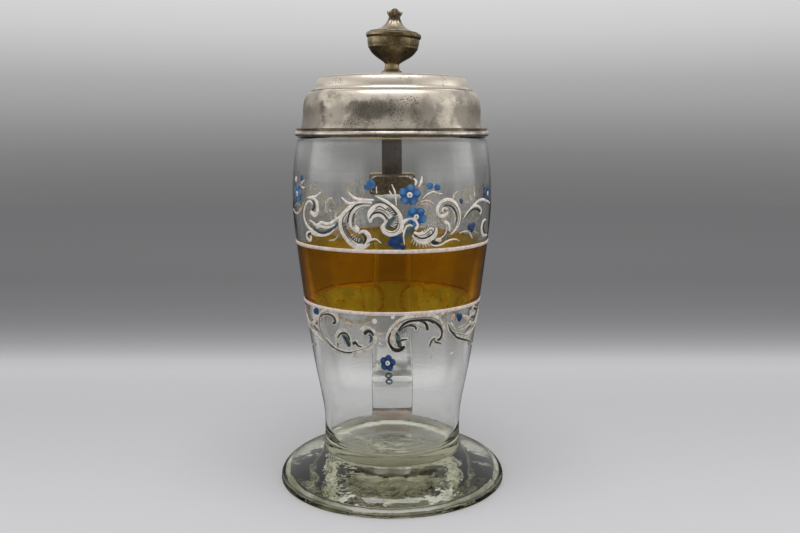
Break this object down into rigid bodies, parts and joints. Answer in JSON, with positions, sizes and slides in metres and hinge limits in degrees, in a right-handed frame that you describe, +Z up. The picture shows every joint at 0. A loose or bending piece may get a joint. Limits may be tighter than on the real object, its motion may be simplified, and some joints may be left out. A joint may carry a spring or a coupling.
{
  "type": "lidded glass tankard",
  "caption": "Tall swelling glass tankard on a broad foot, with an amber band between white lines, a strap handle at the back and a hinged pewter lid opened by an urn-shaped thumbpiece.",
  "frame": {"origin": "middle of the ground pontil pad under the foot, on the table and on the vessel's axis", "axes": "+Z up along the vessel's axis, -Y towards the front, +Y towards the handle and the hinge, +X to the right seen from the front"},
  "size_m": [0.1276, 0.1568, 0.2694],
  "materials": {
    "clear_glass": "polished",
    "foot_glass": "polished",
    "amber_stain": "polished",
    "white_enamel": "satin",
    "pewter": "satin",
    "dark_pewter": "satin",
    "steel": "satin"
  },
  "bodies": {
    "tankard": {"glass_body": "clear_glass", "glass_foot": "foot_glass", "glass_handle": "clear_glass", "amber_band": "amber_stain", "enamel_line_lower": "white_enamel", "enamel_line_upper": "white_enamel", "handle_collar": "dark_pewter", "hinge_shank": "dark_pewter", "hinge_pin": "steel"},
    "lid": {"lid_shell": "pewter", "lid_arm": "pewter", "thumbpiece_urn": "dark_pewter", "thumbpiece_cover": "pewter"}
  },
  "joints": [
    {"name": "lid_hinge", "type": "hinge", "parent": "tankard", "child": "lid", "pos_m": [0, 0.061, 0.1976], "axis": [-1, 0, 0], "range_deg": [0, 105]}
  ]
}
